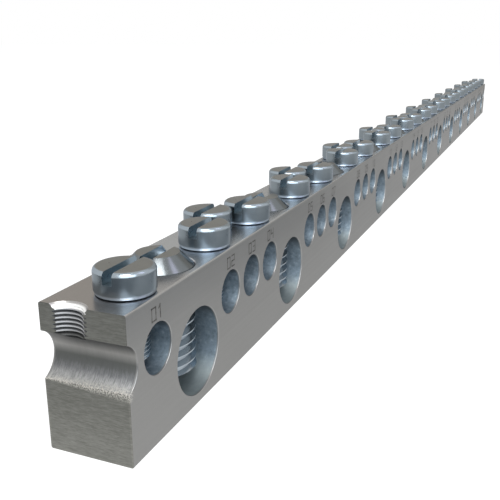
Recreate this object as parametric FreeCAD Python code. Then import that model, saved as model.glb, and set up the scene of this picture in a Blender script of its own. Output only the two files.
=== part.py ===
import FreeCAD, Part
import os

# Earth terminal bar: one drilled aluminium bar and its slotted clamp screws.
# Frame: +X along the bar, +Y from the front face to the back, +Z up out of the screws.
# Origin: middle of the bar's underside. Millimetres.

Vector = FreeCAD.Vector
X_AXIS = Vector(1, 0, 0)
Y_AXIS = Vector(0, 1, 0)
Z_AXIS = Vector(0, 0, 1)
FULL_TURN = 360

# Bar section
bar_height = 28.575
bar_width = 17.5
bar_edge_round = 0.4

# Hole pattern along the bar: three small wire holes, one large, and so on
group_count = 12
small_pitch = 11.906
small_to_large = 15.875
saw_past_centre = 1.9

# Wire holes, drilled from the front face to the back
small_wire_diameter = 9.8
small_wire_roof = 5.0
large_wire_diameter = 18.3
large_wire_floor = 2.2

# Tapped holes, from the top face down into the wire holes
thread_clearance = 0.05
small_thread_diameter = 7.9375
small_row_offset = 2.5
small_countersink = 0.3
large_thread_diameter = 14.2875
large_countersink = 0.3

# Clamp screw of a small hole: cylindrical head with a straight slot
small_head_diameter = 11.4
small_head_height = 4.95
small_head_rim_chamfer = 0.65
small_head_lower_chamfer = 0.3
small_head_gap = 0.2
small_slot_width = 1.95
small_slot_depth = 2.3
small_tip_gap = 2.2
small_tip_chamfer = 0.5

# Clamp screw of a large hole: headless, with a conical top and a straight slot
large_top_rise = 2.7
large_top_flat_diameter = 8.9
large_slot_width = 2.9
large_slot_depth = 3.4
large_tip_gap = 4.0
large_tip_chamfer = 0.5

# Sizes that follow from the ones above
group_pitch = 2 * small_pitch + 2 * small_to_large
bar_length = group_count * group_pitch - 2 * saw_past_centre
small_wire_radius = small_wire_diameter / 2
small_wire_z = bar_height - small_wire_roof - small_wire_radius
large_wire_radius = large_wire_diameter / 2
large_wire_z = large_wire_floor + large_wire_radius
small_tap_radius = small_thread_diameter / 2 + thread_clearance
large_tap_radius = large_thread_diameter / 2 + thread_clearance


def small_places():
    """Centres of the small holes, those that the saw cuts through at both ends too."""
    places = []
    for group in range(group_count + 1):
        middle_x = (group - group_count / 2) * group_pitch
        places.append((middle_x - small_pitch, -small_row_offset))
        places.append((middle_x, small_row_offset))
        places.append((middle_x + small_pitch, -small_row_offset))
    reach = bar_length / 2 + small_wire_radius
    return [place for place in places if abs(place[0]) < reach]


def large_places():
    """Centres of the large holes, midway between the sets of three."""
    half = (group_count - 1) / 2
    return [((group - half) * group_pitch, 0) for group in range(group_count)]


def is_whole(place):
    """A tapped hole holds a screw only where the saw has left it whole."""
    return abs(place[0]) + small_tap_radius < bar_length / 2


def turned(outline):
    """A solid of revolution about Z, from the (radius, height) corners of half its section."""
    corners = [Vector(radius, 0, height) for radius, height in outline]
    face = Part.Face(Part.makePolygon(corners + corners[:1]))
    return face.revolve(Vector(0, 0, 0), Z_AXIS, FULL_TURN)


def slot_cutter(width, depth, across, top):
    """A box that cuts a straight slot along X through a screw's top."""
    overrun = 1
    corner = Vector(-across / 2 - overrun, -width / 2, top - depth)
    return Part.makeBox(across + 2 * overrun, width, depth + overrun, corner)


def wire_hole(place, radius, height):
    overrun = 1
    start = Vector(place[0], -bar_width / 2 - overrun, height)
    return Part.makeCylinder(radius, bar_width + 2 * overrun, start, Y_AXIS)


def tapped_hole(place, radius, bottom, countersink):
    """Plain bore of the thread's outer size, with a countersink at the top face."""
    top = bar_height
    cutter = turned([
        (0, bottom),
        (radius, bottom),
        (radius, top - countersink),
        (radius + 2 * countersink, top + countersink),
        (0, top + countersink),
    ])
    cutter.translate(Vector(place[0], place[1], 0))
    return cutter


def make_bar():
    corner = Vector(-bar_length / 2, -bar_width / 2, 0)
    blank = Part.makeBox(bar_length, bar_width, bar_height, corner)
    long_edges = [edge for edge in blank.Edges if abs(edge.tangentAt(0).dot(X_AXIS)) > 0.99]
    blank = blank.makeFillet(bar_edge_round, long_edges)
    cutters = []
    for place in small_places():
        cutters.append(wire_hole(place, small_wire_radius, small_wire_z))
        cutters.append(tapped_hole(place, small_tap_radius, small_wire_z, small_countersink))
    for place in large_places():
        cutters.append(wire_hole(place, large_wire_radius, large_wire_z))
        cutters.append(tapped_hole(place, large_tap_radius, large_wire_z, large_countersink))
    return blank.cut(cutters)


def make_small_screw():
    """Slotted cylinder-head screw on the Z axis, its head just clear of the bar."""
    shank = small_thread_diameter / 2
    tip = small_wire_z - small_wire_radius + small_tip_gap
    head = small_head_diameter / 2
    under = bar_height + small_head_gap
    top = under + small_head_height
    rim = small_head_rim_chamfer
    low = small_head_lower_chamfer
    screw = turned([
        (0, tip),
        (shank - small_tip_chamfer, tip),
        (shank, tip + small_tip_chamfer),
        (shank, under),
        (head - low, under),
        (head, under + low),
        (head, top - rim),
        (head - rim, top),
        (0, top),
    ])
    return screw.cut(slot_cutter(small_slot_width, small_slot_depth, small_head_diameter, top))


def make_large_screw():
    """Slotted headless screw on the Z axis, its conical top standing out of the bar."""
    shank = large_thread_diameter / 2
    flat = large_top_flat_diameter / 2
    tip = large_wire_floor + large_tip_gap
    top = bar_height + large_top_rise
    cone_foot = top - (shank - flat)
    screw = turned([
        (0, tip),
        (shank - large_tip_chamfer, tip),
        (shank, tip + large_tip_chamfer),
        (shank, cone_foot),
        (flat, top),
        (0, top),
    ])
    return screw.cut(slot_cutter(large_slot_width, large_slot_depth, large_thread_diameter, top))


def placed(shape, place):
    copy = shape.copy()
    copy.translate(Vector(place[0], place[1], 0))
    return copy


def make_nodes():
    nodes = {"bar": make_bar()}
    small_screw = make_small_screw()
    whole_holes = [place for place in small_places() if is_whole(place)]
    for number, place in enumerate(whole_holes, 1):
        nodes[f"small_screw_{number:02d}"] = placed(small_screw, place)
    large_screw = make_large_screw()
    for number, place in enumerate(large_places(), 1):
        nodes[f"large_screw_{number:02d}"] = placed(large_screw, place)
    return nodes


def main():
    os.makedirs("parts", exist_ok=True)
    for name, shape in make_nodes().items():
        shape.exportStep(f"parts/{name}.step")


main()
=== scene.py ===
import math

import bmesh
import bpy
from mathutils import Euler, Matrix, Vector


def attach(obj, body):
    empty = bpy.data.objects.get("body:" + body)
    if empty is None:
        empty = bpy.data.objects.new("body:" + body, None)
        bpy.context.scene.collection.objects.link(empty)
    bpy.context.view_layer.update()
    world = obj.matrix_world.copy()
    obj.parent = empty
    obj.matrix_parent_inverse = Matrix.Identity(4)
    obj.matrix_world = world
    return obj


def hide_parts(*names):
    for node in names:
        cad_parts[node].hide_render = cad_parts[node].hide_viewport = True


# Looks of the earth terminal bar. Metres, in the row frame: X along the bar, Y from the photographed
# front face to the back, Z up. Sizes are in millimetres times MM. They are the solids' own, apart from
# what only this script has: the threads and their tips, the wire holes' rims, the roundings of the screws,
# the depth of the sawn countersinks and the stamped numbers.

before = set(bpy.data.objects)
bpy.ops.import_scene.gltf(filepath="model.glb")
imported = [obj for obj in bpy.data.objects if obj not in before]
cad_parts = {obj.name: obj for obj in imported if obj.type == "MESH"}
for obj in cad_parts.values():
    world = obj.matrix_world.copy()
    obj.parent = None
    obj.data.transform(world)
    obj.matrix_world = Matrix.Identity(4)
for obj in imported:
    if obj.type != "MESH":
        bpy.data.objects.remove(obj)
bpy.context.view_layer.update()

MM = 0.001
FULL_TURN = 2 * math.pi

# Bar
BAR_HEIGHT = 28.575 * MM
BAR_WIDTH = 17.5 * MM
BAR_EDGE_ROUND = 0.4 * MM
GROUP_COUNT = 12
SMALL_PITCH = 11.906 * MM
SMALL_TO_LARGE = 15.875 * MM
SAW_PAST_CENTRE = 1.9 * MM
GROUP_PITCH = 2 * SMALL_PITCH + 2 * SMALL_TO_LARGE
BAR_LENGTH = GROUP_COUNT * GROUP_PITCH - 2 * SAW_PAST_CENTRE

# Wire holes, drilled from the front face to the back. The saw leaves a notch of one at each end.
SMALL_WIRE_RADIUS = 4.9 * MM
SMALL_WIRE_ROOF = 5.0 * MM
SMALL_WIRE_Z = BAR_HEIGHT - SMALL_WIRE_ROOF - SMALL_WIRE_RADIUS
LARGE_WIRE_RADIUS = 9.15 * MM
LARGE_WIRE_FLOOR = 2.2 * MM
LARGE_WIRE_Z = LARGE_WIRE_FLOOR + LARGE_WIRE_RADIUS
RIM_ROUND = 0.16 * MM
NOTCH_LOW = SMALL_WIRE_Z - math.sqrt(SMALL_WIRE_RADIUS ** 2 - SAW_PAST_CENTRE ** 2)
NOTCH_HEIGHT = 2 * (SMALL_WIRE_Z - NOTCH_LOW)

# Tapped holes, from the top face down into the wire holes
SMALL_ROW_OFFSET = 2.5 * MM
SMALL_TAP_RADIUS = 4.019 * MM
SMALL_TAP_CREST = 3.45 * MM
SMALL_THREAD_PITCH = 0.794 * MM
SMALL_COUNTERSINK = 0.3 * MM
SAWN_COUNTERSINK = 0.4 * MM
SAWN_THREAD_TOP = BAR_HEIGHT - 0.2 * MM
LARGE_TAP_RADIUS = 7.194 * MM
LARGE_COUNTERSINK = 0.3 * MM

# Small screws: cylindrical heads with a straight slot
SMALL_SHANK = 3.969 * MM
SMALL_ROOT = 3.48 * MM
SMALL_HEAD = 5.7 * MM
SMALL_HEAD_GAP = 0.2 * MM
SMALL_HEAD_HEIGHT = 4.95 * MM
SMALL_HEAD_UNDER = BAR_HEIGHT + SMALL_HEAD_GAP
SMALL_HEAD_TOP = SMALL_HEAD_UNDER + SMALL_HEAD_HEIGHT
SMALL_RIM_ROUND = 0.9 * MM
SMALL_LOWER_EASE = 0.1 * MM
SMALL_FOOT_IN = 0.22 * MM
SMALL_FOOT_RISE = 0.8 * MM
SMALL_SLOT_WIDTH = 1.95 * MM
SMALL_SLOT_DEPTH = 2.3 * MM
SMALL_TIP_GAP = 2.2 * MM
SMALL_TIP = SMALL_WIRE_Z - SMALL_WIRE_RADIUS + SMALL_TIP_GAP
SMALL_TIP_CHAMFER = 0.5 * MM
SMALL_THREAD_TOP = SMALL_HEAD_UNDER + 0.5 * MM

# Large screws: headless, with a conical top and a straight slot
LARGE_SHANK = 7.144 * MM
LARGE_THREAD_INSET = 0.02 * MM
LARGE_ROOT = 5.87 * MM
LARGE_THREAD_PITCH = 2.117 * MM
LARGE_THREAD_TOP = BAR_HEIGHT - 0.3 * MM
LARGE_PLAIN_LOW = BAR_HEIGHT - 0.6 * MM
LARGE_TOP_RISE = 2.7 * MM
LARGE_TOP = BAR_HEIGHT + LARGE_TOP_RISE
LARGE_FLAT = 4.45 * MM
LARGE_FLAT_EASE = 0.25 * MM
LARGE_SLOT_WIDTH = 2.9 * MM
LARGE_SLOT_DEPTH = 3.4 * MM
LARGE_TIP_GAP = 4.0 * MM
LARGE_TIP = LARGE_WIRE_FLOOR + LARGE_TIP_GAP
LARGE_TIP_CHAMFER = 0.9 * MM

# One pitch of a thread: share of the pitch, and share of the way from the root to the crest
THREAD_FORM = ((0.0, 1.0), (0.125, 1.0), (0.40, 0.02), (0.5625, 0.0), (0.725, 0.02))

# Facets round a full circle
SMALL_WIRE_FACETS = 64
LARGE_WIRE_FACETS = 96
SMALL_TAP_FACETS = 48
SAWN_TAP_FACETS = 96
LARGE_TAP_FACETS = 64
HEAD_FACETS = 96
SMALL_THREAD_FACETS = 40
LARGE_THREAD_FACETS = 72

# Angles in degrees past which an edge is shaded as sharp
BAR_SHARP_ANGLE = 32
SCREW_SHARP_ANGLE = 35

scene = bpy.context.scene
collection = scene.collection


# Mesh helpers

def link_mesh(name, bm):
    """Turns a bmesh into an object in the scene."""
    mesh = bpy.data.meshes.new(name)
    bm.to_mesh(mesh)
    bm.free()
    thing = bpy.data.objects.new(name, mesh)
    collection.objects.link(thing)
    return thing


def flat_panel(name, corners):
    """An object with one face between the given corners."""
    bm = bmesh.new()
    bm.faces.new([bm.verts.new(corner) for corner in corners])
    return link_mesh(name, bm)


def lathe(bm, profile, segments, centre=(0, 0), axis="Z"):
    """Adds a closed solid of revolution; profile holds (radius, height) from one end to the other."""
    rings = []
    for radius, height in profile:
        count = 1 if radius == 0 else segments
        ring = []
        for step in range(count):
            turn = FULL_TURN * step / segments
            across, along = radius * math.cos(turn), radius * math.sin(turn)
            if axis == "Z":
                place = (centre[0] + across, centre[1] + along, height)
            else:
                place = (centre[0] + across, height, centre[1] - along)
            ring.append(bm.verts.new(place))
        rings.append(ring)
    for low, high in zip(rings, rings[1:]):
        for step in range(segments):
            following = (step + 1) % segments
            corners = [low[step % len(low)], low[following % len(low)],
                       high[following % len(high)], high[step % len(high)]]
            unique = list(dict.fromkeys(corners))
            if len(unique) > 2:
                bm.faces.new(unique)


def thread(bm, crest, root, pitch, low, high, segments, tip_chamfer=0.0, centre=(0, 0)):
    """Adds a closed right-hand thread between two heights: a grid sheared along the helix, cut flat."""
    turns_below, spare_turns = 1.5, 3
    rows = len(THREAD_FORM)
    turns = math.ceil((high - low) / pitch) + spare_turns
    verts = []
    for step in range(segments):
        turn = FULL_TURN * step / segments
        column = []
        for row in range(rows * turns):
            phase, outward = THREAD_FORM[row % rows]
            radius = root + outward * (crest - root)
            height = low + (row // rows - turns_below + phase + step / segments) * pitch
            if tip_chamfer:
                radius = min(radius, crest - tip_chamfer + max(height - low, 0.0))
            column.append(bm.verts.new((centre[0] + radius * math.cos(turn),
                                        centre[1] + radius * math.sin(turn), height)))
        verts.append(column)
    for step in range(segments):
        last = step == segments - 1
        shift = rows if last else 0
        following = verts[0] if last else verts[step + 1]
        for row in range(rows * turns - 1 - shift):
            bm.faces.new((verts[step][row], following[row + shift],
                          following[row + 1 + shift], verts[step][row + 1]))
    for height, facing in ((low, -1), (high, 1)):
        everything = bm.verts[:] + bm.edges[:] + bm.faces[:]
        cut = bmesh.ops.bisect_plane(bm, geom=everything, dist=1e-9, plane_co=(0, 0, height),
                                     plane_no=(0, 0, facing), clear_outer=True)
        edges = [item for item in cut["geom_cut"] if isinstance(item, bmesh.types.BMEdge)]
        bmesh.ops.edgeloop_fill(bm, edges=edges)
    bmesh.ops.recalc_face_normals(bm, faces=bm.faces[:])


def solid(name, build):
    """An object from a function that fills a bmesh with closed shapes."""
    bm = bmesh.new()
    build(bm)
    bmesh.ops.recalc_face_normals(bm, faces=bm.faces[:])
    return link_mesh(name, bm)


def combine(target, other, operation):
    """Applies a boolean to target and deletes the other object."""
    modifier = target.modifiers.new("cut", "BOOLEAN")
    modifier.object = other
    modifier.operation = operation
    modifier.solver = "MANIFOLD"
    graph = bpy.context.evaluated_depsgraph_get()
    mesh = bpy.data.meshes.new_from_object(target.evaluated_get(graph))
    target.modifiers.clear()
    target.data = mesh
    bpy.data.objects.remove(other)


def smooth(thing, angle):
    """Shades a mesh smooth, apart from the edges past an angle in degrees."""
    mesh = thing.data
    mesh.polygons.foreach_set("use_smooth", [True] * len(mesh.polygons))
    mesh.set_sharp_from_angle(angle=math.radians(angle))


def arc(centre, radius, start, end, steps):
    """Points of a profile's rounding, angles in degrees from the outward direction."""
    points = []
    for step in range(steps + 1):
        turn = math.radians(start + (end - start) * step / steps)
        points.append((centre[0] + radius * math.cos(turn), centre[1] + radius * math.sin(turn)))
    return points


# Places along the bar

def small_places():
    """Centres of the small holes, those that the saw cuts through at both ends too."""
    places = []
    for group in range(GROUP_COUNT + 1):
        middle = (group - GROUP_COUNT / 2) * GROUP_PITCH
        places += [(middle - SMALL_PITCH, -SMALL_ROW_OFFSET), (middle, SMALL_ROW_OFFSET),
                   (middle + SMALL_PITCH, -SMALL_ROW_OFFSET)]
    reach = BAR_LENGTH / 2 + SMALL_WIRE_RADIUS
    return [place for place in places if abs(place[0]) < reach]


def is_whole(place):
    return abs(place[0]) + SMALL_TAP_RADIUS < BAR_LENGTH / 2


def whole_small_places():
    """Centres of the small holes that hold a screw."""
    return [place for place in small_places() if is_whole(place)]


def large_places():
    half = (GROUP_COUNT - 1) / 2
    return [((group - half) * GROUP_PITCH, 0) for group in range(GROUP_COUNT)]


# Bar

def bar_blank(bm):
    """The extruded length before drilling, its four long edges rounded."""
    half_width = BAR_WIDTH / 2
    corner_steps = 6
    outline = []
    corners = ((half_width, BAR_HEIGHT, 0), (-half_width, BAR_HEIGHT, 1),
               (-half_width, 0, 2), (half_width, 0, 3))
    for y, z, quarter in corners:
        centre_y = y - math.copysign(BAR_EDGE_ROUND, y)
        centre_z = z + (BAR_EDGE_ROUND if z == 0 else -BAR_EDGE_ROUND)
        for step in range(corner_steps + 1):
            turn = (quarter + step / corner_steps) * math.pi / 2
            outline.append((centre_y + BAR_EDGE_ROUND * math.cos(turn),
                            centre_z + BAR_EDGE_ROUND * math.sin(turn)))
    near, far = [[bm.verts.new((x, y, z)) for y, z in outline] for x in (-BAR_LENGTH / 2, BAR_LENGTH / 2)]
    bm.faces.new(near)
    bm.faces.new(far)
    for index in range(len(outline)):
        following = (index + 1) % len(outline)
        bm.faces.new((near[index], near[following], far[following], far[index]))


def rim_profile(radius):
    """A wire hole's cutter, flared at both faces so that it leaves a deburred rim."""
    overrun = 2 * MM
    face, end = BAR_WIDTH / 2, BAR_WIDTH / 2 + overrun
    shares = ((1.0, 0.0), (0.46, 0.13), (0.13, 0.46), (0.0, 1.0))
    back = [(radius + RIM_ROUND * wide, face - RIM_ROUND * deep) for wide, deep in shares]
    front = [(wide, -along) for wide, along in back]
    widest = radius + RIM_ROUND
    return [(0, -end), (widest, -end), *front, *back[::-1], (widest, end), (0, end)]


def wire_holes(bm):
    for x, _ in small_places():
        lathe(bm, rim_profile(SMALL_WIRE_RADIUS), SMALL_WIRE_FACETS, (x, SMALL_WIRE_Z), "Y")
    for x, _ in large_places():
        lathe(bm, rim_profile(LARGE_WIRE_RADIUS), LARGE_WIRE_FACETS, (x, LARGE_WIRE_Z), "Y")


def tap_profile(radius, bottom, countersink):
    """A plain bore of the thread's outer size, with its countersink run on above the bar."""
    top = BAR_HEIGHT
    return [(0, bottom), (radius, bottom), (radius, top - countersink),
            (radius + 2 * countersink, top + countersink), (0, top + countersink)]


def sawn_countersink_profile():
    """The cone over a sawn hole, down to the crests of the thread that is cut under it."""
    bottom = BAR_HEIGHT - SAWN_COUNTERSINK - (SMALL_TAP_RADIUS - SMALL_TAP_CREST)
    above = BAR_HEIGHT + SAWN_COUNTERSINK
    return [(0, bottom), (SMALL_TAP_CREST, bottom),
            (SMALL_TAP_RADIUS + 2 * SAWN_COUNTERSINK, above), (0, above)]


def tapped_holes(bm):
    small_bore = tap_profile(SMALL_TAP_RADIUS, SMALL_WIRE_Z, SMALL_COUNTERSINK)
    large_bore = tap_profile(LARGE_TAP_RADIUS, LARGE_WIRE_Z, LARGE_COUNTERSINK)
    for place in small_places():
        if is_whole(place):
            lathe(bm, small_bore, SMALL_TAP_FACETS, place)
        else:
            lathe(bm, sawn_countersink_profile(), SAWN_TAP_FACETS, place)
    for place in large_places():
        lathe(bm, large_bore, LARGE_TAP_FACETS, place)


def sawn_thread(bm, place):
    thread(bm, SMALL_TAP_RADIUS, SMALL_TAP_CREST, SMALL_THREAD_PITCH, SMALL_WIRE_Z,
           SAWN_THREAD_TOP, SAWN_TAP_FACETS, centre=place)


def on_outer_face(point):
    near = 2e-6
    return (abs(abs(point.y) - BAR_WIDTH / 2) < near or abs(point.z) < near
            or abs(point.z - BAR_HEIGHT) < near or abs(abs(point.x) - BAR_LENGTH / 2) < near)


def mark_flat_faces(thing):
    """Sharp edges round the flat outer faces, so that only what is round is shaded as round."""
    square_on = 0.9999
    bm = bmesh.new()
    bm.from_mesh(thing.data)
    flat = set()
    for face in bm.faces:
        along_an_axis = max(abs(part) for part in face.normal) > square_on
        if along_an_axis and all(on_outer_face(vert.co) for vert in face.verts):
            flat.add(face.index)
    for edge in bm.edges:
        owners = {face.index in flat for face in edge.link_faces}
        if len(owners) > 1:
            edge.smooth = False
    bm.to_mesh(thing.data)
    bm.free()


def make_bar():
    bar = solid("bar_machined", bar_blank)
    combine(bar, solid("wire_cutter", wire_holes), "DIFFERENCE")
    combine(bar, solid("tap_cutter", tapped_holes), "DIFFERENCE")
    for place in small_places():
        if not is_whole(place):
            cutter = solid("thread_cutter", lambda bm, at=place: sawn_thread(bm, at))
            combine(bar, cutter, "DIFFERENCE")
    smooth(bar, BAR_SHARP_ANGLE)
    mark_flat_faces(bar)
    return bar


# Screws

def small_head(bm):
    """The head with a rounded rim and a slightly bevelled foot."""
    under, top = SMALL_HEAD_UNDER, SMALL_HEAD_TOP
    foot, ease = SMALL_HEAD - SMALL_FOOT_IN, SMALL_LOWER_EASE
    round_centre = SMALL_HEAD - SMALL_RIM_ROUND
    profile = [(0, under), (foot - ease, under)]
    profile += arc((foot - ease, under + ease), ease, -60, -30, 3)
    profile += arc((round_centre, under + SMALL_FOOT_RISE), SMALL_RIM_ROUND, -24, 0, 4)
    profile += arc((round_centre, top - SMALL_RIM_ROUND), SMALL_RIM_ROUND, 0, 90, 10)
    profile.append((0, top))
    lathe(bm, profile, HEAD_FACETS)


def small_shank(bm):
    thread(bm, SMALL_SHANK, SMALL_ROOT, SMALL_THREAD_PITCH, SMALL_TIP, SMALL_THREAD_TOP,
           SMALL_THREAD_FACETS, tip_chamfer=SMALL_TIP_CHAMFER)


def large_top(bm):
    """The plain conical top, its edge at the flat slightly rounded."""
    ease = LARGE_FLAT_EASE
    tangent_share = 0.41
    foot = LARGE_TOP - (LARGE_SHANK - LARGE_FLAT)
    profile = [(0, LARGE_PLAIN_LOW), (LARGE_SHANK, LARGE_PLAIN_LOW), (LARGE_SHANK, foot)]
    profile += arc((LARGE_FLAT - tangent_share * ease, LARGE_TOP - ease), ease, 45, 90, 4)
    profile.append((0, LARGE_TOP))
    lathe(bm, profile, HEAD_FACETS)


def large_shank(bm):
    thread(bm, LARGE_SHANK - LARGE_THREAD_INSET, LARGE_ROOT, LARGE_THREAD_PITCH, LARGE_TIP,
           LARGE_THREAD_TOP, LARGE_THREAD_FACETS, tip_chamfer=LARGE_TIP_CHAMFER)


def slot_block(bm, width, depth, across, top):
    """A block centred on the screw's top, which it enters by the slot's depth."""
    overrun = 2 * MM
    size = Vector((across + overrun, width, 2 * depth))
    made = bmesh.ops.create_cube(bm, size=1)
    for vert in made["verts"]:
        vert.co = Vector((vert.co.x * size.x, vert.co.y * size.y, top + vert.co.z * size.z))


def small_slot(bm):
    slot_block(bm, SMALL_SLOT_WIDTH, SMALL_SLOT_DEPTH, 2 * SMALL_HEAD, SMALL_HEAD_TOP)


def large_slot(bm):
    slot_block(bm, LARGE_SLOT_WIDTH, LARGE_SLOT_DEPTH, 2 * LARGE_SHANK, LARGE_TOP)


def make_screw(kind, top, shank, slot):
    """A slotted screw on the Z axis, joined from its top and its threaded shank."""
    screw = solid(f"{kind}_shape", top)
    combine(screw, solid(f"{kind}_shank", shank), "UNION")
    combine(screw, solid(f"{kind}_slot", slot), "DIFFERENCE")
    smooth(screw, SCREW_SHARP_ANGLE)
    return screw


def place_screws(shape, material, kind, places):
    """One linked copy of the shape per hole, each standing for the CAD screw with that number."""
    shape.data.materials.clear()
    shape.data.materials.append(material)
    for number, (x, y) in enumerate(places, 1):
        screw = bpy.data.objects.new(f"{kind}_threaded_{number:02d}", shape.data)
        collection.objects.link(screw)
        screw.location = (x, y, 0)
        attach(screw, "root")
        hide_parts(f"{kind}_{number:02d}")
    bpy.data.objects.remove(shape)


# Position numbers: plain stroke digits along the front face, one unit wide and two high

STROKES = {
    "0": [(0, 0), (1, 0), (1, 2), (0, 2), (0, 0)],
    "1": [(0.15, 1.55), (0.5, 2), (0.5, 0)],
    "2": [(0, 2), (1, 2), (1, 1), (0, 1), (0, 0), (1, 0)],
    "3": [(0, 2), (1, 2), (1, 0), (0, 0)],
    "4": [(0, 2), (0, 1), (1, 1)],
    "5": [(1, 2), (0, 2), (0, 1), (1, 1), (1, 0), (0, 0)],
    "6": [(1, 2), (0, 2), (0, 0), (1, 0), (1, 1), (0, 1)],
    "7": [(0, 2), (1, 2), (0.4, 0)],
    "8": [(0, 0), (1, 0), (1, 2), (0, 2), (0, 0)],
    "9": [(1, 1), (0, 1), (0, 2), (1, 2), (1, 0), (0, 0)],
}
SECOND_STROKES = {"3": [(0.25, 1), (1, 1)], "4": [(1, 2), (1, 0)], "8": [(0, 1), (1, 1)]}
DIGIT_HEIGHT = 2.4 * MM
DIGIT_WIDTH = 1.4 * MM
DIGIT_STEP = 2.25 * MM
DIGIT_LOW = 24.3 * MM
STROKE_WIDTH = 0.3 * MM
STROKE_PROUD = 0.006 * MM


def stroke(bm, start, end):
    """A flat strip just proud of the front face, both ends run on by half its width."""
    y = -BAR_WIDTH / 2 - STROKE_PROUD
    along = (end - start).normalized() * STROKE_WIDTH / 2
    side = Vector((-along.y, along.x))
    outline = [start - along - side, end + along - side, end + along + side, start - along + side]
    bm.faces.new([bm.verts.new((point.x, y, point.y)) for point in outline])


def position_numbers(bm):
    """A two-digit number over each whole small hole."""
    for number, (x, _) in enumerate(whole_small_places(), 1):
        text = f"{number:02d}"
        left = x - (len(text) * DIGIT_STEP - (DIGIT_STEP - DIGIT_WIDTH)) / 2
        for index, digit in enumerate(text):
            corner = Vector((left + index * DIGIT_STEP, DIGIT_LOW))
            for path in (STROKES[digit], SECOND_STROKES.get(digit, [])):
                points = [corner + Vector((u * DIGIT_WIDTH, v * DIGIT_HEIGHT / 2)) for u, v in path]
                for start, end in zip(points, points[1:]):
                    stroke(bm, start, end)


def make_numbers():
    bm = bmesh.new()
    position_numbers(bm)
    return link_mesh("position_numbers", bm)


# Colours. A pair is the two ends between which a noise varies the surface.

def rgb(red, green, blue):
    return (red, green, blue, 1.0)


FACE = (rgb(0.254, 0.252, 0.244), rgb(0.280, 0.277, 0.269))
DRAWN_LINES = rgb(0.226, 0.223, 0.215)
TOP_BY_END = (rgb(0.415, 0.395, 0.383), rgb(0.482, 0.464, 0.453))
# The top away from its ends and along its front edge: painted reflection, lighter and bluer
TOP_PAINTED_REFLECTION = (rgb(0.605, 0.632, 0.668), rgb(0.685, 0.716, 0.756))
# Painted highlight on the hole rims and countersinks
RIM_PAINTED_HIGHLIGHT = rgb(0.55, 0.55, 0.54)
HOLE_WALL = (rgb(0.198, 0.244, 0.282), rgb(0.255, 0.310, 0.352))
HOLE_LIGHT_SPOTS = rgb(0.325, 0.386, 0.434)
HOLE_DARK_SPOTS = rgb(0.157, 0.198, 0.231)
# Painted shade on the holes' roof, where the wall faces down
HOLE_ROOF_PAINTED_SHADE = rgb(0.105, 0.122, 0.130)
HOLE_FLOOR = (rgb(0.265, 0.300, 0.304), rgb(0.380, 0.425, 0.430))
# Painted highlight on the sawn thread's crests, and painted shade in its valleys
SAWN_THREAD_PAINTED_LIGHT_AND_SHADE = (rgb(0.60, 0.60, 0.605), rgb(0.235, 0.237, 0.240))
# Painted highlight on the sawn countersink
SAWN_CONE_PAINTED_HIGHLIGHT = rgb(0.97, 0.965, 0.95)
SAW_CUT = (rgb(0.152, 0.151, 0.134), rgb(0.243, 0.241, 0.220))
SAW_CUT_LOW = (rgb(0.176, 0.175, 0.157), rgb(0.283, 0.280, 0.257))
# The torn burr, with painted glints
BURR_PAINTED_GLINT = rgb(0.68, 0.65, 0.59)
NOTCH_SCORES = rgb(0.09, 0.09, 0.09)

# Painted reflection and shade along the notch: share of its height from its lower edge, and the shade there
NOTCH_PAINTED_REFLECTION_BANDS = (
    (0.02, rgb(0.50, 0.495, 0.475)),
    (0.09, rgb(0.41, 0.41, 0.405)),
    (0.20, rgb(0.225, 0.228, 0.232)),
    (0.32, rgb(0.152, 0.156, 0.152)),
    (0.45, rgb(0.152, 0.155, 0.145)),
    (0.64, rgb(0.350, 0.343, 0.326)),
    (0.80, rgb(0.225, 0.223, 0.216)),
    (0.95, rgb(0.150, 0.150, 0.145)),
)

# Painted reflection on the zinc: bluish on the sides, warm on the flat tops
ZINC_SIDE_PAINTED_REFLECTION = (rgb(0.176, 0.203, 0.219), rgb(0.222, 0.250, 0.266))
ZINC_TOP_PAINTED_REFLECTION = (rgb(0.250, 0.249, 0.232), rgb(0.310, 0.309, 0.291))
# Painted highlight where a screw faces down, at the heads' lower rounding
ZINC_UNDER_PAINTED_HIGHLIGHT = rgb(0.62, 0.72, 0.82)
ZINC_SHANK = (rgb(0.30, 0.34, 0.37), rgb(0.38, 0.42, 0.45))
# Painted light on the slots' walls and floor, darker toward their open ends
SLOT_PAINTED_LIGHT = rgb(0.43, 0.51, 0.56)
SLOT_OPEN_END = rgb(0.23, 0.27, 0.29)
# Painted highlight on the small heads' rounded rim
SMALL_RIM_PAINTED_HIGHLIGHT = rgb(0.33, 0.38, 0.42)
LARGE_CONE_COLOUR = rgb(0.172, 0.188, 0.196)
# Painted shade of the stamped impressions
STAMPED_PAINTED_SHADE = (rgb(0.075, 0.072, 0.068), rgb(0.190, 0.182, 0.172))

PAPER = (rgb(0.80, 0.80, 0.80), rgb(0.82, 0.82, 0.82))
WHITE = rgb(1, 1, 1)

# Where the bar's surface changes, as the two ends of a smooth step. Depths and gaps are measured from
# its faces inward, heights from its foot, and radii from a tapped hole's axis.
SKIN_DEPTH = (0.004 * MM, 0.02 * MM)
WALL_DEPTH = (0.18 * MM, 0.50 * MM)
TOP_SKIN_DEPTH = (0.50 * MM, 0.35 * MM)
NOTCH_END_GAP = (3.4 * MM, 4.4 * MM)
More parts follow.
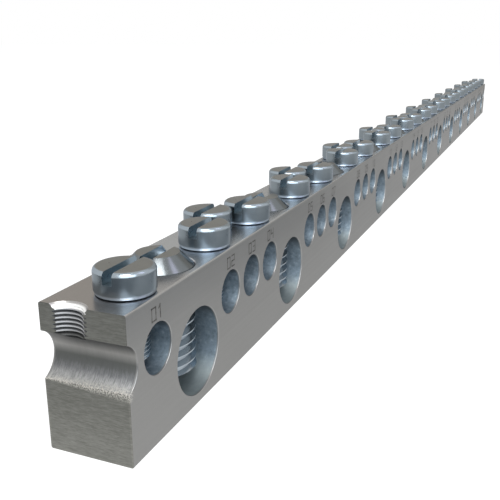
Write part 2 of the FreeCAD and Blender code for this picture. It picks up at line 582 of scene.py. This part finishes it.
# Where the top's painted reflection fades in: the gap from the ends, and the place across the top toward
# the front
INWARD_END_GAP = (14.0 * MM, 27.0 * MM)
FRONT_STRIP_Y = (-1.5 * MM, -7.5 * MM)
HOLE_FLOOR_HEIGHT = (3.5 * MM, 8.0 * MM)
LIGHT_FOOT_HEIGHT = (11.0 * MM, 3.0 * MM)
SAWN_THREAD_HEIGHT = (SMALL_WIRE_Z + 4.6 * MM, SMALL_WIRE_Z + 5.0 * MM)
SAWN_CONE_HEIGHT = (BAR_HEIGHT - 1.05 * MM, BAR_HEIGHT - 0.95 * MM)
SAWN_VALLEY_RADIUS = (SMALL_TAP_CREST + 0.01 * MM, SMALL_TAP_CREST + 0.09 * MM)
BURR_END_GAP = (1.6 * MM, 0.0)
BURR_MIDDLE_WIDTH = 1.05 * MM
BURR_TAPER = -0.085

# The same for the screws
SHANK_HEIGHT = (BAR_HEIGHT - 1.5 * MM, BAR_HEIGHT - 1.0 * MM)
SLOT_END_RADIUS = (2.6 * MM, 4.2 * MM)
SLOT_WALL_SKIN = (-0.02 * MM, 0.0)
SLOT_FLOOR_SKIN = (0.03 * MM, 0.01 * MM)


# Materials

class Nodes:
    """A short hand for wiring the node tree of one material or world."""

    def __init__(self, owner, output_kind="ShaderNodeOutputMaterial"):
        self.owner = owner
        owner.use_nodes = True
        self.tree = owner.node_tree
        self.tree.nodes.clear()
        self.output = self.tree.nodes.new(output_kind)

    def add(self, kind, inputs=None, **settings):
        node = self.tree.nodes.new(kind)
        for key, value in settings.items():
            setattr(node, key, value)
        for key, value in (inputs or {}).items():
            if hasattr(value, "is_output"):
                self.tree.links.new(value, node.inputs[key])
            else:
                node.inputs[key].default_value = value
        return node

    def finish(self, shader):
        """Links the shader to the output, and hands the material or world over."""
        self.tree.links.new(shader.outputs[0], self.output.inputs[0])
        return self.owner

    def math(self, operation, a, b=0.0, c=0.0, clamp=False):
        node = self.add("ShaderNodeMath", {0: a, 1: b, 2: c}, operation=operation, use_clamp=clamp)
        return node.outputs[0]

    def plus(self, a, b):
        return self.math("ADD", a, b)

    def minus(self, a, b):
        return self.math("SUBTRACT", a, b)

    def times(self, a, b):
        return self.math("MULTIPLY", a, b)

    def inverse(self, value):
        return self.minus(1.0, value)

    def length(self, a, b):
        return self.math("SQRT", self.plus(self.times(a, a), self.times(b, b)))

    def weighted(self, start, *parts):
        """The start value, plus each part's value times its weight."""
        total = start
        for value, weight in parts:
            total = self.plus(total, self.times(value, weight))
        return total

    def ramp_between(self, value, low, high):
        """0 at low, 1 at high and smooth in between, whichever of the two is larger."""
        node = self.add("ShaderNodeMapRange", {0: value, 1: low, 2: high, 3: 0.0, 4: 1.0},
                        interpolation_type="SMOOTHSTEP")
        return node.outputs[0]

    def mix(self, factor, a, b):
        return self.add("ShaderNodeMix", {0: factor, 6: a, 7: b}, data_type="RGBA").outputs[2]

    def noise(self, vector, scale, detail=3.0, roughness=0.5):
        node = self.add("ShaderNodeTexNoise", {"Vector": vector, "Scale": scale, "Detail": detail,
                                               "Roughness": roughness})
        return node.outputs[0]

    def grain(self, vector, scale, detail, roughness):
        """Noise with a scale of its own along each axis."""
        stretched = self.add("ShaderNodeMapping", {"Vector": vector, "Scale": scale}).outputs[0]
        return self.noise(stretched, 1.0, detail, roughness)

    def place(self):
        """The point's place in its piece, as a vector and as three separate axes."""
        where = self.add("ShaderNodeTexCoord").outputs["Object"]
        return where, self.add("ShaderNodeSeparateXYZ", {0: where}).outputs

    def upward(self, normal):
        """How far the surface faces up, from -1 to 1."""
        facing = self.add("ShaderNodeNewGeometry").outputs[normal]
        return self.add("ShaderNodeSeparateXYZ", {0: facing}).outputs[2]

    def bump(self, height, strength, distance):
        node = self.add("ShaderNodeBump", {"Height": height, "Strength": strength, "Distance": distance})
        return node.outputs[0]


def new_nodes(name):
    return Nodes(bpy.data.materials.new(name))


def outer_colour(n, axes, end_gap, top, cloud, drawn):
    """The drawn faces. The top is lighter and bluer away from the ends and along its front edge: painted
    reflection of the screws and the light.
    """
    face = n.mix(n.times(drawn, 0.35), n.mix(cloud, *FACE), DRAWN_LINES)
    # Painted reflection on the top, away from the ends and along the front edge
    front_strip = n.times(n.ramp_between(axes[1], *FRONT_STRIP_Y), 0.5)
    inward = n.math("MAXIMUM", n.ramp_between(end_gap, *INWARD_END_GAP), front_strip)
    top_colour = n.mix(inward, n.mix(cloud, *TOP_BY_END), n.mix(cloud, *TOP_PAINTED_REFLECTION))
    return n.mix(top, face, top_colour)


def hole_colour(n, height, up, bored, mottle):
    """The wire holes' walls: bluish and mottled, with painted shade at the roof, greyer on the large holes'
    floor.
    """
    wall = n.mix(bored, *HOLE_WALL)
    wall = n.mix(n.ramp_between(mottle, 0.50, 0.72), wall, HOLE_LIGHT_SPOTS)
    wall = n.mix(n.ramp_between(mottle, 0.50, 0.30), wall, HOLE_DARK_SPOTS)
    # Painted shade where the wall faces down
    wall = n.mix(n.ramp_between(up, -0.35, -0.90), wall, HOLE_ROOF_PAINTED_SHADE)
    bottom = n.inverse(n.ramp_between(height, *HOLE_FLOOR_HEIGHT))
    return n.mix(bottom, wall, n.mix(mottle, *HOLE_FLOOR))


def notch_colour(n, height, bored, streaks):
    """The sawn half hole: painted reflection and shade in bands along it, brightest toward its lower edge,
    with brushed streaks and dark scores.
    """
    rise = n.math("DIVIDE", n.minus(height, NOTCH_LOW), NOTCH_HEIGHT)
    low = n.ramp_between(rise, 0.55, 0.20)
    wander = n.times(n.minus(streaks, 0.5), 0.28)
    # Painted reflection and shade in bands along the notch
    bands = n.add("ShaderNodeValToRGB", {0: n.plus(rise, n.times(wander, low))})
    stops = bands.color_ramp.elements
    while len(stops) < len(NOTCH_PAINTED_REFLECTION_BANDS):
        stops.new(0.5)
    for stop, (share, shade) in zip(stops, NOTCH_PAINTED_REFLECTION_BANDS):
        stop.position = share
        stop.color = shade
    dull = n.times(n.ramp_between(streaks, 0.44, 0.60), n.times(low, 0.28))
    scored = n.plus(dull, n.times(bored, 0.25))
    return n.mix(scored, bands.outputs[0], NOTCH_SCORES)


def sawn_thread_colour(n, axes, end_gap):
    """The sawn half of a tapped hole: painted highlight on the crests, painted shade in the valleys and a
    painted highlight on the cone over them.
    """
    from_axis = n.length(n.plus(end_gap, SAW_PAST_CENTRE), n.minus(axes[1], SMALL_ROW_OFFSET))
    valley_shade = n.ramp_between(from_axis, *SAWN_VALLEY_RADIUS)
    cone = n.ramp_between(axes[2], *SAWN_CONE_HEIGHT)
    return n.mix(cone, n.mix(valley_shade, *SAWN_THREAD_PAINTED_LIGHT_AND_SHADE), SAWN_CONE_PAINTED_HIGHLIGHT)


def saw_cut_colour(n, height, saw):
    """The sawn end faces, a little lighter toward the foot."""
    line = n.ramp_between(saw, 0.30, 0.72)
    low = n.ramp_between(height, *LIGHT_FOOT_HEIGHT)
    return n.mix(low, n.mix(line, *SAW_CUT), n.mix(line, *SAW_CUT_LOW))


def burr_mask(n, axes, end_gap, ragged):
    """The torn burr along the notch's lower edge, widest at the front."""
    width = n.math("MULTIPLY_ADD", axes[1], BURR_TAPER, BURR_MIDDLE_WIDTH)
    away = n.math("ABSOLUTE", n.minus(axes[2], NOTCH_LOW))
    reach = n.math("SUBTRACT", 1.0, n.math("DIVIDE", away, width), clamp=True)
    depth = n.ramp_between(end_gap, *BURR_END_GAP)
    return n.times(n.times(reach, depth), n.ramp_between(ragged, 0.44, 0.56))


def aluminium():
    """The bar: drawn faces, bored holes, sawn ends. What lies deeper than its faces is a hole's wall."""
    n = new_nodes("bar_aluminium")
    where, axes = n.place()
    up = n.upward("True Normal")

    from_side = n.minus(BAR_WIDTH / 2, n.math("ABSOLUTE", axes[1]))
    from_top = n.minus(BAR_HEIGHT, axes[2])
    end_gap = n.minus(BAR_LENGTH / 2, n.math("ABSOLUTE", axes[0]))
    depth = n.math("MINIMUM", from_side, n.math("MINIMUM", from_top, axes[2]))
    inner = n.ramp_between(depth, *WALL_DEPTH)
    rim = n.times(n.ramp_between(depth, *SKIN_DEPTH), n.inverse(inner))
    end = n.inverse(n.ramp_between(end_gap, *SKIN_DEPTH))
    at_end = n.inverse(n.ramp_between(end_gap, *NOTCH_END_GAP))
    top = n.times(n.ramp_between(up, 0.63, 0.75), n.ramp_between(from_top, *TOP_SKIN_DEPTH))
    over_notch = n.ramp_between(axes[2], *SAWN_THREAD_HEIGHT)

    drawn = n.grain(where, (6, 900, 900), 4.0, 0.6)
    cloud = n.noise(where, 55.0, 3.0, 0.5)
    sawn_fine = n.grain(where, (1, 620, 5200), 4.0, 0.75)
    sawn_broad = n.grain(where, (1, 260, 1800), 2.0, 0.6)
    saw = n.plus(n.times(sawn_fine, 0.75), n.times(sawn_broad, 0.25))
    bored = n.grain(where, (60, 2600, 60), 4.0, 0.6)
    streaks = n.grain(where, (640, 3700, 640), 5.0, 0.8)
    mottle = n.noise(where, 900.0, 4.0, 0.65)
    ragged = n.noise(where, 3300.0, 3.0, 0.75)
    burr = burr_mask(n, axes, end_gap, ragged)

    hole = hole_colour(n, axes[2], up, bored, mottle)
    hole = n.mix(at_end, hole, notch_colour(n, axes[2], bored, streaks))
    hole = n.mix(n.times(over_notch, at_end), hole, sawn_thread_colour(n, axes, end_gap))
    colour = n.mix(inner, outer_colour(n, axes, end_gap, top, cloud, drawn), hole)
    # Painted highlight on the rims round the holes, weaker at the ends
    rim_highlight = n.times(rim, n.math("MULTIPLY_ADD", at_end, -0.16, 0.24))
    colour = n.mix(rim_highlight, colour, RIM_PAINTED_HIGHLIGHT)
    colour = n.mix(end, colour, saw_cut_colour(n, axes[2], saw))
    # The torn burr, painted bright as its glints
    colour = n.mix(burr, colour, BURR_PAINTED_GLINT)

    rough = n.weighted(0.30, (drawn, 0.10), (end, 0.14), (top, -0.10), (inner, 0.20))
    relief = n.weighted(0.0, (drawn, 0.25), (n.times(saw, end), 1.0), (n.times(bored, inner), 0.8),
                        (n.times(ragged, burr), 3.0))
    return n.finish(n.add("ShaderNodeBsdfPrincipled", {
        "Base Color": colour, "Metallic": 1.0, "Roughness": rough,
        "Normal": n.bump(relief, 0.35, 0.02 * MM), "Specular Tint": rgb(0.60, 0.60, 0.60)}))


def slot_mask(n, axes, width, floor):
    """1 inside a screw's slot, floor and walls."""
    under_floor, at_floor = SLOT_FLOOR_SKIN
    beside = n.minus(width / 2, n.math("ABSOLUTE", axes[1]))
    above = n.ramp_between(axes[2], floor - under_floor, floor - at_floor)
    return n.times(above, n.ramp_between(beside, *SLOT_WALL_SKIN))


def zinc(name, slot_width, slot_floor, rim_highlight_and_cone_colour):
    """Zinc-plated steel for a screw on the Z axis, turned finely round it."""
    n = new_nodes(name)
    where, axes = n.place()
    up = n.upward("Normal")
    from_axis = n.length(axes[0], axes[1])
    round_axis = n.add("ShaderNodeCombineXYZ", {0: from_axis, 1: 0.0, 2: axes[2]}).outputs[0]
    turned = n.grain(round_axis, (5200, 1, 5200), 2.0, 0.6)
    cloud = n.noise(where, 420.0, 3.0, 0.55)

    rim = n.times(n.ramp_between(up, 0.10, 0.35), n.ramp_between(up, 0.995, 0.90))
    # Where the painted highlight goes: surfaces that face down
    under = n.inverse(n.ramp_between(up, -0.75, -0.05))
    open_end = n.times(n.ramp_between(up, 0.5, 0.9), n.ramp_between(from_axis, *SLOT_END_RADIUS))
    in_hole = n.inverse(n.ramp_between(axes[2], *SHANK_HEIGHT))

    # Painted reflection: bluish sides, warm flat tops
    colour = n.mix(n.ramp_between(up, 0.80, 0.995), n.mix(cloud, *ZINC_SIDE_PAINTED_REFLECTION), n.mix(cloud, *ZINC_TOP_PAINTED_REFLECTION))
    # On the small screws a painted highlight on the rim; on the large ones the cone's colour
    colour = n.mix(rim, colour, rim_highlight_and_cone_colour)
    colour = n.mix(under, colour, ZINC_UNDER_PAINTED_HIGHLIGHT)
    # Painted light in the slot
    slot_painted_light = n.mix(open_end, SLOT_PAINTED_LIGHT, SLOT_OPEN_END)
    colour = n.mix(slot_mask(n, axes, slot_width, slot_floor), colour, slot_painted_light)
    colour = n.mix(in_hole, colour, n.mix(cloud, *ZINC_SHANK))

    rough = n.weighted(0.24, (cloud, 0.10), (rim, -0.10))
    return n.finish(n.add("ShaderNodeBsdfPrincipled", {
        "Base Color": colour, "Metallic": 1.0, "Roughness": rough,
        "Normal": n.bump(turned, 0.12, 0.01 * MM), "Specular Tint": rgb(0.7, 0.72, 0.75)}))


def stamp():
    """The strokes of the stamped numbers, dark with painted shade of the impressions and unevenly worn."""
    n = new_nodes("stamped_mark_painted_shade")
    where, _ = n.place()
    worn = n.ramp_between(n.noise(where, 1400.0, 3.0, 0.6), 0.35, 0.62)
    return n.finish(n.add("ShaderNodeBsdfPrincipled", {
        "Base Color": n.mix(worn, *STAMPED_PAINTED_SHADE), "Metallic": 1.0, "Roughness": 0.5,
        "Specular Tint": rgb(0.5, 0.5, 0.5)}))


def background_seen(n):
    """1 for the rays that show the background: camera, mirror and see-through ones."""
    path = n.add("ShaderNodeLightPath").outputs
    seen = n.math("MAXIMUM", path["Is Camera Ray"], path["Is Glossy Ray"])
    return n.math("MAXIMUM", seen, path["Is Transmission Ray"])


def floor_paper():
    """Pale paper. Where it is seen it is near white, and still takes the object's shadow."""
    n = new_nodes("floor_paper")
    where, _ = n.place()
    fibre = n.noise(where, 30.0)
    paper = n.add("ShaderNodeBsdfDiffuse", {"Color": n.mix(fibre, *PAPER)}).outputs[0]
    thin = n.add("ShaderNodeBsdfDiffuse", {"Color": rgb(0.30, 0.30, 0.30)}).outputs[0]
    glow = n.add("ShaderNodeEmission", {"Color": WHITE, "Strength": 0.93}).outputs[0]
    shown = n.add("ShaderNodeAddShader", {0: thin, 1: glow}).outputs[0]
    return n.finish(n.add("ShaderNodeMixShader", {0: background_seen(n), 1: paper, 2: shown}))


# Studio

def make_world():
    """A soft even light, and plain white where the surround itself is seen."""
    n = Nodes(bpy.data.worlds.new("studio"), "ShaderNodeOutputWorld")
    soft = n.add("ShaderNodeBackground", {"Color": rgb(0.96, 0.98, 1.0), "Strength": 0.25}).outputs[0]
    white = n.add("ShaderNodeBackground", {"Color": WHITE, "Strength": 1.0}).outputs[0]
    scene.world = n.finish(n.add("ShaderNodeMixShader", {0: background_seen(n), 1: soft, 2: white}))


def make_floor():
    half, height = 8.0, -0.1 * MM
    floor = flat_panel("floor", [(-half, -half, height), (half, -half, height),
                                 (half, half, height), (-half, half, height)])
    floor.data.materials.append(floor_paper())


def softbox(name, direction, distance, size, radiance, colour):
    """An area lamp aimed at the bar's near half. Its power follows from its radiance and area."""
    aim = Vector((-0.2, 0, 0.03))
    toward = Vector(direction).normalized()
    lamp = bpy.data.lights.new(name, "AREA")
    lamp.shape = "RECTANGLE"
    lamp.size, lamp.size_y = size
    lamp.energy = radiance * math.pi * size[0] * size[1]
    lamp.color = colour
    holder = bpy.data.objects.new(name, lamp)
    collection.objects.link(holder)
    holder.location = aim + toward * distance
    holder.rotation_euler = toward.to_track_quat("Z", "Y").to_euler()


def only_reflected(card):
    """Makes a studio card show in the metal and nowhere else, with no shadow of its own."""
    card.visible_camera = False
    card.visible_diffuse = False
    card.visible_shadow = False


def make_table_card(name, low, high, shades):
    """A card on the table between two (x, y) corners."""
    height = -0.05 * MM
    card = flat_panel(name, [(low[0], low[1], height), (high[0], low[1], height),
                             (high[0], high[1], height), (low[0], high[1], height)])
    n = new_nodes(name + "_felt")
    where, _ = n.place()
    colour = n.mix(n.noise(where, 60.0), *shades)
    card.data.materials.append(n.finish(n.add("ShaderNodeBsdfDiffuse", {"Color": colour})))
    only_reflected(card)


def make_far_card(shades):
    """A glowing upright panel past the far end, for the reflections in what faces up."""
    x, height = 0.75, 1.1
    near_y, far_y = -0.5, 1.4
    card = flat_panel("beige_card", [(x, near_y, 0.0), (x, far_y, 0.0),
                                     (x, far_y, height), (x, near_y, height)])
    n = new_nodes("card_board")
    where, _ = n.place()
    colour = n.mix(n.noise(where, 12.0), *shades)
    card.data.materials.append(n.finish(n.add("ShaderNodeEmission", {"Color": colour, "Strength": 1.0})))
    only_reflected(card)


def make_cards():
    make_table_card("dark_card", low=(-0.90, -0.60), high=(-0.375, 0.40),
                    shades=(rgb(0.15, 0.175, 0.20), rgb(0.19, 0.215, 0.24)))
    make_table_card("grey_card", low=(-0.375, -0.22), high=(-0.10, -0.045),
                    shades=(rgb(0.73, 0.74, 0.745), rgb(0.79, 0.80, 0.805)))
    make_far_card(shades=(rgb(0.66, 0.635, 0.59), rgb(0.68, 0.655, 0.61)))


def make_lights():
    softbox("sky_behind", direction=(-0.70, -0.56, 0.44), distance=1.0, size=(0.9, 0.9),
            radiance=2.7, colour=(0.80, 0.90, 1.0))
    softbox("key_overhead", direction=(-0.45, -0.24, 0.86), distance=1.0, size=(0.38, 0.42),
            radiance=6.9, colour=(1.0, 1.0, 1.0))
    softbox("side_front", direction=(0.16, -0.62, 0.77), distance=1.1, size=(0.22, 0.5),
            radiance=1.8, colour=(0.81, 0.76, 1.0))


def make_camera():
    """The photo's camera, as fitted to the bar's straight edges, hole rims and screw heads."""
    data = bpy.data.cameras.new("camera")
    data.lens = 50.355
    data.sensor_width = 36.0
    data.clip_start = 0.005
    data.clip_end = 50.0
    camera = bpy.data.objects.new("camera", data)
    collection.objects.link(camera)
    camera.location = (-0.420940, -0.068026, 0.071447)
    camera.rotation_euler = Euler((1.278403, 0.001600, -1.175594), "XYZ")
    scene.camera = camera


# Build

make_camera()
make_world()
make_lights()
make_floor()
make_cards()

bar = make_bar()
bar.data.materials.clear()
bar.data.materials.append(aluminium())
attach(bar, "root")
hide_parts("bar")

small_screw = make_screw("small_screw", small_head, small_shank, small_slot)
small_zinc = zinc("small_screw_zinc", SMALL_SLOT_WIDTH, SMALL_HEAD_TOP - SMALL_SLOT_DEPTH, SMALL_RIM_PAINTED_HIGHLIGHT)
place_screws(small_screw, small_zinc, "small_screw", whole_small_places())

large_screw = make_screw("large_screw", large_top, large_shank, large_slot)
large_zinc = zinc("large_screw_zinc", LARGE_SLOT_WIDTH, LARGE_TOP - LARGE_SLOT_DEPTH, LARGE_CONE_COLOUR)
place_screws(large_screw, large_zinc, "large_screw", large_places())

numbers = make_numbers()
numbers.data.materials.append(stamp())
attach(numbers, "root")

scene.view_settings.view_transform = "Standard"
